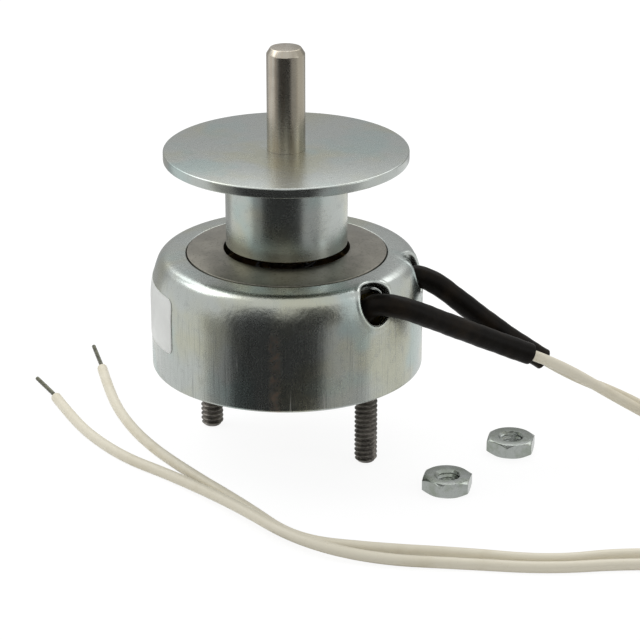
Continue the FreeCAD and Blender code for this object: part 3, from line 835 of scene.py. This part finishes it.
def ring_finish():
    """Bare ground steel: warm grey, speckled, with concentric grinding marks and a few pits and nicks."""
    base = colours().bare_steel
    finish = Finish("bare_ground_steel", base, 1.0, 0.42)
    dark, pale = tinted(base, 0.45), tinted(base, 1.4)
    cloud = finish.noise(0.006, 4.0, 0.6, seed=3.0)
    speck = finish.noise(0.00055, 4.0, 0.7, seed=1.0)
    marks = finish.noise(1.0, 4.0, 0.6, finish.swept(0.25, 0.00016))
    pits = finish.node("ShaderNodeTexVoronoi", {}, {"Vector": finish.place, "Scale": 420.0}, "Distance")
    colour = finish.stained(base, cloud, 0.35, 0.7, 1.0, pale)
    colour = finish.stained(colour, speck, 0.52, 0.68, 0.6, dark)
    colour = finish.stained(colour, marks, 0.56, 0.7, 0.35, pale)
    colour = finish.blend((1.0 - finish.between(pits, 0.05, 0.16)) * 0.55, colour, dark)
    relief = speck * 0.8 + marks * 0.6 + finish.between(pits, 0.04, 0.14) * 0.5
    return finish.done(colour, 0.22 + 0.18 * speck + 0.07 * marks, relief, 0.00003, 0.6)


def shaft_finish():
    """Fine-turned stainless: rings of turning marks, a warm cast, soft brown streaks along the rod and painted shade
    down its right side.
    """
    base = colours().stainless
    finish = Finish("turned_stainless", base, 1.0, 0.24)
    marks = finish.noise(1.0, 3.0, 0.6, finish.swept(0.9, 0.00009))
    streak = finish.noise(1.0, 3.0, 0.5, finish.swept(0.16, 0.02), 4.0)
    cloud = finish.noise(0.004, 4.0, 0.6)
    colour = finish.stained(base, streak, 0.42, 0.68, 0.7, tinted(base, 0.92, 0.84, 0.78))
    # painted shade: the rod's right side (+x) is darkened to stand in for the darker reflection it shows there
    colour = finish.stained(colour, finish.place_parts()[0], 0.0002, 0.0026, 0.75, tinted(base, 0.66, 0.64, 0.58))
    colour = finish.stained(colour, cloud, 0.52, 0.74, 0.3, tinted(base, 0.6))
    return finish.done(colour, 0.19 + 0.10 * marks + 0.08 * cloud, marks, 0.00001)


def thread_finish(name, base, roughness):
    """Rolled thread or dull strands: oily and darker in patches."""
    finish = Finish(name, base, 0.9, roughness)
    cloud = finish.noise(0.0018, 4.0, 0.65)
    grain = finish.noise(0.0003, 3.0, 0.6)
    colour = finish.stained(base, cloud, 0.35, 0.7, 1.0, tinted(base, 0.45))
    return finish.done(colour, roughness - 0.08 + 0.2 * grain, grain, 0.00002)


def nut_finish():
    """Zinc-plated nut: pale cold metal with a grey-green cast and tumbling marks."""
    base = tinted(colours().zinc, 0.8)
    finish = Finish("plated_nut", base, 1.0, 0.26)
    cloud = finish.noise(0.0028, 4.0, 0.6, seed=2.0)
    grain = finish.noise(0.0004, 4.0, 0.7)
    colour = finish.stained(base, cloud, 0.38, 0.66, 0.8, tinted(base, 0.72, 0.76, 0.66))
    colour = finish.stained(colour, grain, 0.55, 0.72, 0.45, tinted(base, 0.5))
    return finish.done(colour, 0.15 + 0.16 * grain, grain * 0.7 + cloud * 0.6, 0.00004)


def insulation_finish():
    """Cream insulation: satin plastic with faint handling marks and slight waviness."""
    base = colours().insulation
    finish = Finish("cream_insulation", base, 0.0, 0.38)
    worn = tinted(base, 0.80, 0.76, 0.66)
    cloud = finish.noise(0.012, 4.0, 0.6)
    speck = finish.noise(0.0007, 4.0, 0.65)
    colour = finish.stained(base, cloud, 0.45, 0.75, 0.55, worn)
    colour = finish.stained(colour, speck, 0.60, 0.74, 0.35, worn)
    return finish.done(colour, 0.33 + 0.18 * speck, cloud * 0.5 + speck * 0.2, 0.00006)


def sleeve_finish():
    """Black varnished sleeve: a soft sheen over a fine woven grain, brownish in cloudy patches."""
    base = colours().sleeve
    finish = Finish("black_varnish", base, 0.0, 0.4, specular=0.06)
    cloud = finish.noise(0.005, 4.0, 0.6)
    weave = finish.noise(0.00042, 2.0, 0.5)
    # a faint brownish tint in cloudy patches
    colour = finish.stained(base, cloud, 0.42, 0.75, 1.0, tinted(base, 2.6, 2.2, 1.7))
    return finish.done(colour, 0.26 + 0.14 * weave + 0.08 * cloud, weave * 0.7 + cloud * 0.5, 0.00006, 0.6)


def label_finish():
    """Blank label: smooth off-white film."""
    base = colours().label
    finish = Finish("blank_film", base, 0.0, 0.42, 0.15)
    cloud = finish.noise(0.006, 4.0, 0.6)
    fibre = finish.noise(0.0004, 3.0, 0.6)
    colour = finish.stained(base, cloud, 0.4, 0.75, 0.5, tinted(base, 0.86))
    return finish.done(colour, 0.36 + 0.14 * fibre, fibre, 0.00001, 0.4)


def inner_metal(name, colour, roughness, around=0.5, profile=0.0003):
    """A turned or wound inner metal: fine marks round the axis and a soft tarnish."""
    finish = Finish(name, colour, 1.0, roughness)
    marks = finish.noise(1.0, 3.0, 0.6, finish.swept(around, profile))
    cloud = finish.noise(0.005, 4.0, 0.6)
    tarnished = finish.stained(colour, cloud, 0.42, 0.75, 0.7, tinted(colour, 0.62))
    return finish.done(tarnished, roughness - 0.05 + 0.12 * marks + 0.06 * cloud, marks, 0.00002)


def inner_plastic(name, colour, roughness):
    """A moulded inner plastic: faint flow clouds and a fine grain."""
    finish = Finish(name, colour, 0.0, roughness)
    cloud = finish.noise(0.007, 3.0, 0.5)
    grain = finish.noise(0.0004, 3.0, 0.6)
    clouded = finish.stained(colour, cloud, 0.4, 0.75, 0.5, tinted(colour, 0.8))
    return finish.done(clouded, roughness + 0.12 * grain, grain, 0.00002)


# Pieces


def dressed(piece, body, slot, material, *nodes):
    """A finished piece: it rides on a body, stands for frame nodes and carries a material."""
    piece.data.materials.clear()
    piece.data.materials.append(material)
    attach(piece, body)
    if nodes:
        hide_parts(*nodes)
    return piece


def lead_curve(name, route, diameter):
    """A lead as one smooth NURBS line through its control points, with a round section."""
    data = bpy.data.curves.new(name, "CURVE")
    data.dimensions = "3D"
    spline = data.splines.new("NURBS")
    spline.points.add(len(route) - 1)
    spline.points.foreach_set("co", np.c_[np.array(route), np.ones(len(route))].ravel())
    spline.order_u = 3
    spline.use_endpoint_u = True
    data.resolution_u = 10
    data.bevel_depth = diameter / 2
    data.bevel_resolution = 5
    data.use_fill_caps = True
    return linked(name, data)


def sleeve_mesh(name, line, tangents, outer, bore):
    """A hollow sleeve: one closed section, outer skin, rounded end, bore and rounded start, along a line.

    Row i of the skin has the radius R (1 + 0.012 sin(0.35 i) + 0.008 sin(0.93 i + 1)).
    """
    steps, end_radius = 40, 0.00035
    rows = np.arange(len(line))
    turn = np.linspace(0, math.pi, 7)[1:-1]
    wall = (outer - bore) / 4
    middle = (outer + bore) / 4
    end = line[-1] + np.sin(turn)[:, None] * tangents[-1] * end_radius
    start = line[0] - np.sin(turn)[:, None] * tangents[0] * end_radius
    end_radii = middle + wall * np.cos(turn)
    start_radii = middle - wall * np.cos(turn)
    path = np.concatenate([line, end, line[::-1], start])
    along = np.concatenate([
        tangents, np.repeat(tangents[-1:], len(end), 0), tangents[::-1], np.repeat(tangents[:1], len(start), 0),
    ])
    ripple = 1.0 + 0.012 * np.sin(rows * 0.35) + 0.008 * np.sin(rows * 0.93 + 1.0)
    radii = np.concatenate([outer / 2 * ripple, end_radii, np.full(len(line), bore / 2), start_radii])
    grid = tube_grid(path, along, radii, steps)
    return mesh_piece(name, grid, grid_faces(len(path), steps, 0, True, True), 50.0)


def strand_mesh(name, start, corner, tip, diameter):
    """Seven twisted strands as one rod of radius R (1 - 0.22 (1 - |sin(3.5 t)|)^1.5) along a softly bent line."""
    share = np.linspace(0, 1, 70)[:, None]
    bend = np.concatenate([
        start + (corner - start) * share[:-1:3],
        corner + (tip - corner) * share,
    ])
    for _ in range(3):
        bend[1:-1] = (bend[:-2] + bend[1:-1] + bend[2:]) / 3
    tangents = np.gradient(bend, axis=0)
    tangents /= np.linalg.norm(tangents, axis=1)[:, None]
    steps = 42
    turn = np.arange(steps) * TAU / steps
    lobes = 1 - 0.22 * (1 - np.abs(np.sin(3.5 * turn))) ** 1.5
    radii = np.broadcast_to(diameter / 2 * lobes, (len(bend), steps))
    return rod_mesh(name, bend, tangents, radii, steps, 60.0, 9.0)


def spring_mesh(name, low, high, outer, wire, turns=8):
    """A round wire along a helix: p(t) = (R cos t, R sin t, z(t)), R = outer - wire / 2, with z rising evenly."""
    share = np.linspace(0, 1, turns * 40 + 1)
    angle = share * turns * TAU
    radius, climb, clear = outer - wire / 2, high - low - wire, 0.998
    line = turned(radius, angle, low + wire / 2 + climb * share)
    rise = np.full(len(share), climb / (turns * TAU))
    tangents = np.stack([-radius * np.sin(angle), radius * np.cos(angle), rise], 1)
    tangents /= np.linalg.norm(tangents, axis=1)[:, None]
    return rod_mesh(name, line, tangents, np.full(len(line), wire / 2 * clear), 14, 50.0)


def sheet(name, corners, finish):
    """A flat four-cornered piece of the stage, in metres."""
    mesh = bpy.data.meshes.new(name)
    mesh.from_pydata(corners, [], [(0, 1, 2, 3)])
    mesh.materials.append(finish.material)
    piece = linked(name, mesh)
    return piece


def card(name, corners, tone):
    """A grey studio card that only reflections see."""
    finish = Finish(name, (0.0, 0.0, 0.0), 0.0, 1.0, specular=0.0)
    finish.shader.inputs["Emission Color"].default_value = (tone, tone, tone, 1.0)
    finish.shader.inputs["Emission Strength"].default_value = 1.0
    piece = sheet(name, corners, finish)
    piece.visible_camera = piece.visible_diffuse = piece.visible_shadow = False


def soft_box(name, place, target, width, height, brightness, colour):
    """An area lamp of a given radiance: power = pi * area * radiance."""
    data = bpy.data.lights.new(name, "AREA")
    data.shape = "RECTANGLE"
    data.size, data.size_y = width, height
    data.energy = math.pi * width * height * brightness
    data.color = colour
    lamp = linked(name, data)
    lamp.location = place
    lamp.rotation_euler = (Vector(target) - Vector(place)).to_track_quat("-Z", "Y").to_euler()


class SOLENOID_OT_stage(bpy.types.Operator):
    """Builds the pale floor, the studio cards, the soft lamps, the world and the camera"""

    bl_idname = "solenoid.stage"
    bl_label = "Stage, light and camera"

    def execute(self, context):
        floor_z = low_corner("mounting_nuts").z
        self.floor(floor_z)
        self.world(context.scene)
        self.cards(floor_z)
        for lamp in LAMPS:
            soft_box(*lamp)
        self.camera(context.scene)
        context.scene.view_settings.view_transform = "Standard"
        return {"FINISHED"}

    @staticmethod
    def cards(floor_z):
        """Cards on the floor and round the camera: dark in front, grey beside it and behind the object."""
        above = floor_z + 0.0004
        for name, near_left, near_right, far_left, far_right, tone in FLOOR_CARDS:
            card(name, [(*corner, above) for corner in (near_left, near_right, far_right, far_left)], tone)
        for name, left, right, depth, foot, head, tone in UPRIGHT_CARDS:
            foot = floor_z if foot is None else foot
            corners = [(left, depth, foot), (right, depth, foot), (right, depth, head), (left, depth, head)]
            card(name, corners, tone)

    @staticmethod
    def floor(floor_z):
        """A wide white floor: partly glowing where it is seen, so it stays white and keeps a soft shadow."""
        finish = Finish("white_floor", (0.86, 0.86, 0.86), 0.0, 0.9, specular=0.0)
        glow = finish.node("ShaderNodeEmission", {}, {"Strength": 1.12})
        matte = Signal(finish, finish.shader.outputs[0])
        mix = finish.node("ShaderNodeMixShader", {}, [finish.seen() * 0.8, matte, glow])
        finish.tree.links.new(mix.socket, finish.tree.nodes["Material Output"].inputs["Surface"])
        reach = 3.0
        corners = ((-reach, -reach), (reach, -reach), (reach, reach), (-reach, reach))
        sheet("floor", [(*corner, floor_z) for corner in corners], finish)

    @staticmethod
    def world(scene):
        """An even pale sky: white where it is seen or mirrored, softer as a light."""
        world = bpy.data.worlds.new("studio")
        world.use_nodes = True
        scene.world = world
        sky = world.node_tree.nodes["Background"]
        sky.inputs["Color"].default_value = (1.0, 1.0, 1.0, 1.0)
        graph, as_light, as_seen = Graph(world.node_tree), 0.48, 1.0
        strength = as_light + (as_seen - as_light) * graph.seen()
        graph.tree.links.new(strength.socket, sky.inputs["Strength"])

    @staticmethod
    def camera(scene):
        """The photograph's view: 480 mm in front, 205 mm up, 22.2 degrees down, a narrow lens."""
        data = bpy.data.cameras.new("camera")
        data.sensor_width = 36.0
        data.sensor_fit = "HORIZONTAL"
        data.lens = data.sensor_width * FOCAL_SHARE
        data.clip_start, data.clip_end = 0.01, 20.0
        scene.camera = linked("camera", data)
        scene.camera.location = CAMERA_PLACE
        scene.camera.rotation_euler = [math.radians(angle) for angle in CAMERA_TURN]


class SOLENOID_OT_leads(bpy.types.Operator):
    """Builds the two leads with their black sleeves and bare strands"""

    bl_idname = "solenoid.leads"
    bl_label = "Leads and sleeves"

    def execute(self, context):
        s = sizes()
        cream, black = insulation_finish(), sleeve_finish()
        tinned = thread_finish("tinned_strands", colours().conductor, 0.42)
        for letter, route, tip, length, sleeve_end in (
            ("a", ROUTE_A, TIP_A, LEAD_LENGTHS[0], SLEEVE_ENDS[0]),
            ("b", ROUTE_B, TIP_B, LEAD_LENGTHS[1], SLEEVE_ENDS[1]),
        ):
            lead = lead_curve("lead_" + letter + "_insulated", route, s.lead_diameter)
            points, tangents = smooth_line(lead, 1600)
            last = int(np.argmin(np.linalg.norm(points - np.array(sleeve_end), axis=1)))
            span = np.arange(5, last, 2)  # the sleeve starts a little inside the case
            sleeve = sleeve_mesh(
                "sleeve_" + letter, points[span], tangents[span], s.sleeve_diameter, s.sleeve_bore
            )
            dressed(sleeve, "housing", "black_sleeve", black, "insulating_sleeve_" + letter)
            end, tucked, straight = points[-1], 0.0028, 0.0025
            strands = strand_mesh(
                "strands_" + letter, end - tangents[-1] * tucked, end + tangents[-1] * straight, np.array(tip),
                s.conductor_diameter,
            )
            dressed(strands, "housing", "tinned_wire", tinned, "conductor_" + letter)
            dressed(lead, "housing", "lead_insulation", cream, "lead_" + letter)
        return {"FINISHED"}


class SOLENOID_OT_case(bpy.types.Operator):
    """Builds the drawn case with its rolled-lip lead holes, and its blank label"""

    bl_idname = "solenoid.case"
    bl_label = "Case and label"

    def execute(self, context):
        s = sizes()
        shape = CaseShape(s)
        points, faces = case_mesh(shape, s)
        case = mesh_piece("drawn_case", points, faces, 40.0)
        dressed(case, "housing", "zinc_plate", zinc_finish("case_plate", 0.012, 0.006, 0.4, drawn=True), "case")
        label = mesh_piece("blank_label", *label_sheet(shape), 60.0)
        shell = label.modifiers.new("Thickness", "SOLIDIFY")
        shell.thickness = 0.00009
        shell.offset = 1.0
        dressed(label, "housing", "zinc_plate", label_finish())
        return {"FINISHED"}


class SOLENOID_OT_ring(bpy.types.Operator):
    """Builds the bare steel ring in the case's mouth"""

    bl_idname = "solenoid.ring"
    bl_label = "Pole ring"

    def execute(self, context):
        s = sizes()
        low, gap, neck_gap, neck_edge, bore_edge = low_corner("pole_ring").z / MM, 0.05, 0.1, 0.08, 0.12
        edge = (s.case_height + s.ring_proud) / MM
        ceiling = (s.case_height - s.case_wall) / MM - gap
        bore, neck, flange = s.ring_bore / MM, s.ring_radius / MM - neck_gap, s.ring_flange / MM
        outline = rounded_profile([
            (bore, low, 0), (flange, low, 0), (flange, ceiling, 0), (neck, ceiling, 0),
            (neck, edge, neck_edge), (bore, edge + s.ring_rise / MM, bore_edge),
        ])
        dressed(lathe("ground_ring", outline, 200), "housing", "bare_steel", ring_finish(), "pole_ring")
        return {"FINISHED"}


class SOLENOID_OT_armature(bpy.types.Operator):
    """Builds the plunger, the flat disc and the shaft"""

    bl_idname = "solenoid.armature"
    bl_label = "Plunger, disc and shaft"

    def execute(self, context):
        s = sizes()
        low, top = low_corner("plunger").z / MM, high_corner("plunger").z / MM
        disc_low, disc_top = low_corner("armature_disc").z / MM, high_corner("armature_disc").z / MM
        thin, rod, pocket = s.tail_radius / MM, s.shaft_radius / MM, s.pocket_radius / MM
        press_gap, chamfer, sharp, soft = 0.02, 0.4, 0.06, 0.3
        hole, outer, pocket_top = thin + press_gap, s.plunger_radius / MM, low + s.pocket_depth / MM
        plunger = lathe("turned_plunger", rounded_profile([
            (pocket, low, soft), (outer - chamfer, low, sharp), (outer, low + chamfer, sharp), (outer, top, 0),
            (hole, top, 0), (hole, pocket_top, 0), (pocket, pocket_top, 0),
        ]), 160)
        dressed(plunger, "armature", "zinc_plate", zinc_finish("plunger_plate", 0.9, 0.00022, 0.55, 5.0), "plunger")
        disc = lathe("turned_disc", rounded_profile([
            (hole, disc_low, 0), (s.disc_radius / MM, disc_low, soft), (s.disc_radius / MM, disc_top, soft),
            (hole, disc_top, 0),
        ]), 240)
        dressed(disc, "armature", "zinc_plate", zinc_finish("disc_plate", 0.5, 0.0003, 0.3, 9.0), "armature_disc")
        tail, end = low_corner("shaft").z / MM, high_corner("shaft").z / MM
        clip_low, clip_high = low_corner("retaining_ring").z / MM, high_corner("retaining_ring").z / MM
        groove, gap, shoulder = thin - 0.6, 0.05, disc_top + press_gap
        end_width, end_height, tail_edge, end_edge = 0.8, 1.25, 0.35, 0.5
        shaft = lathe("turned_shaft", rounded_profile([
            (0.0, tail, 0), (thin, tail, tail_edge), (thin, clip_low - gap, 0), (groove, clip_low - gap, 0),
            (groove, clip_high + gap, 0), (thin, clip_high + gap, 0), (thin, shoulder, 0), (rod, shoulder, 0),
            (rod, end - end_height, end_edge), (rod - end_width, end, soft), (0.0, end, 0),
        ]), 96)
        dressed(shaft, "armature", "stainless", shaft_finish(), "shaft")
        return {"FINISHED"}


class SOLENOID_OT_fasteners(bpy.types.Operator):
    """Builds the two threaded studs and the two loose nuts"""

    bl_idname = "solenoid.fasteners"
    bl_label = "Studs and nuts"

    def execute(self, context):
        s = sizes()
        grids = [stud_grid(s, math.radians(azimuth)) for azimuth in STUD_AZIMUTHS]
        dressed(
            self.joined("threaded_studs", grids, False), "housing", "dark_steel",
            thread_finish("dark_thread", colours().stud, 0.42), "mounting_studs",
        )
        grids = [nut_grid(s, place, math.radians(NUT_TURN)) for place in NUT_PLACES]
        dressed(self.joined("threaded_nuts", grids, True), "housing", "zinc_plate", nut_finish(), "mounting_nuts")
        return {"FINISHED"}

    @staticmethod
    def joined(name, grids, wrap_rows):
        """One piece from grids of the same shape."""
        faces = []
        for index, grid in enumerate(grids):
            rows, columns = grid.shape[:2]
            faces += grid_faces(rows, columns, index * rows * columns, wrap_rows, True)
        return mesh_piece(name, np.concatenate([grid.reshape(-1, 3) for grid in grids]), faces, 28.0)


class SOLENOID_OT_inner(bpy.types.Operator):
    """Winds the return spring and gives the other pieces inside and underneath their finishes"""

    bl_idname = "solenoid.inner"
    bl_label = "Inner pieces"

    def execute(self, context):
        brass = inner_metal("guide_brass", (0.30, 0.21, 0.09), 0.45)
        spring = inner_metal("spring_wire", (0.05, 0.048, 0.046), 0.45, 0.05, 0.0006)
        finishes = {
            "base_plate": zinc_finish("base_zinc", 0.4, 0.0004, 0.4, 12.0),
            "retaining_ring": spring,
            "shaft_bearing": inner_metal("bearing_bronze", (0.42, 0.27, 0.13), 0.42),
            "air_gap_washer": brass,
            "guide_sleeve": brass,
            "coil_winding": inner_metal("copper_winding", (0.50, 0.19, 0.09), 0.32, 4.0, 0.0004),
            "stop_washer": inner_plastic("stop_nylon", (0.70, 0.67, 0.58), 0.4),
            "coil_bobbin": inner_plastic("bobbin_nylon", (0.03, 0.03, 0.03), 0.42),
            "coil_tape": inner_plastic("winding_tape", (0.30, 0.23, 0.06), 0.3),
        }
        for node, material in finishes.items():
            for material_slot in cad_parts[node].material_slots:
                material_slot.material = material
        low, high = low_corner("return_spring"), high_corner("return_spring")
        coil = spring_mesh("coil_spring", low.z, high.z, high.x, sizes().spring_wire)
        dressed(coil, "housing", "spring_steel", spring, "return_spring")
        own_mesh(coil)
        return {"FINISHED"}


class SOLENOID_PT_panel(bpy.types.Panel):
    """Lists the steps that build the solenoid"""

    bl_idname = "SOLENOID_PT_panel"
    bl_label = "Pull Solenoid"
    bl_space_type = "VIEW_3D"
    bl_region_type = "UI"
    bl_category = "Solenoid"

    def draw(self, context):
        for operator in OPERATORS:
            self.layout.operator(operator.bl_idname)
        for settings in (context.scene.solenoid_sizes, context.scene.solenoid_colours):
            for name in settings.__annotations__:
                self.layout.prop(settings, name)


OPERATORS = (
    SOLENOID_OT_stage, SOLENOID_OT_leads, SOLENOID_OT_case, SOLENOID_OT_ring, SOLENOID_OT_armature,
    SOLENOID_OT_fasteners, SOLENOID_OT_inner,
)
CLASSES = (SolenoidSizes, SolenoidColours, *OPERATORS, SOLENOID_PT_panel)


def register():
    """Registers the settings, the steps and the panel."""
    for item in CLASSES:
        bpy.utils.register_class(item)
    bpy.types.Scene.solenoid_sizes = bpy.props.PointerProperty(type=SolenoidSizes)
    bpy.types.Scene.solenoid_colours = bpy.props.PointerProperty(type=SolenoidColours)


def unregister():
    """Takes them out again."""
    del bpy.types.Scene.solenoid_colours
    del bpy.types.Scene.solenoid_sizes
    for item in reversed(CLASSES):
        bpy.utils.unregister_class(item)


def main():
    """Builds the stage and every piece."""
    register()
    bpy.ops.solenoid.stage()
    bpy.ops.solenoid.leads()
    bpy.ops.solenoid.case()
    bpy.ops.solenoid.ring()
    bpy.ops.solenoid.armature()
    bpy.ops.solenoid.fasteners()
    bpy.ops.solenoid.inner()
    bpy.context.view_layer.update()


if __name__ == "__main__":
    main()
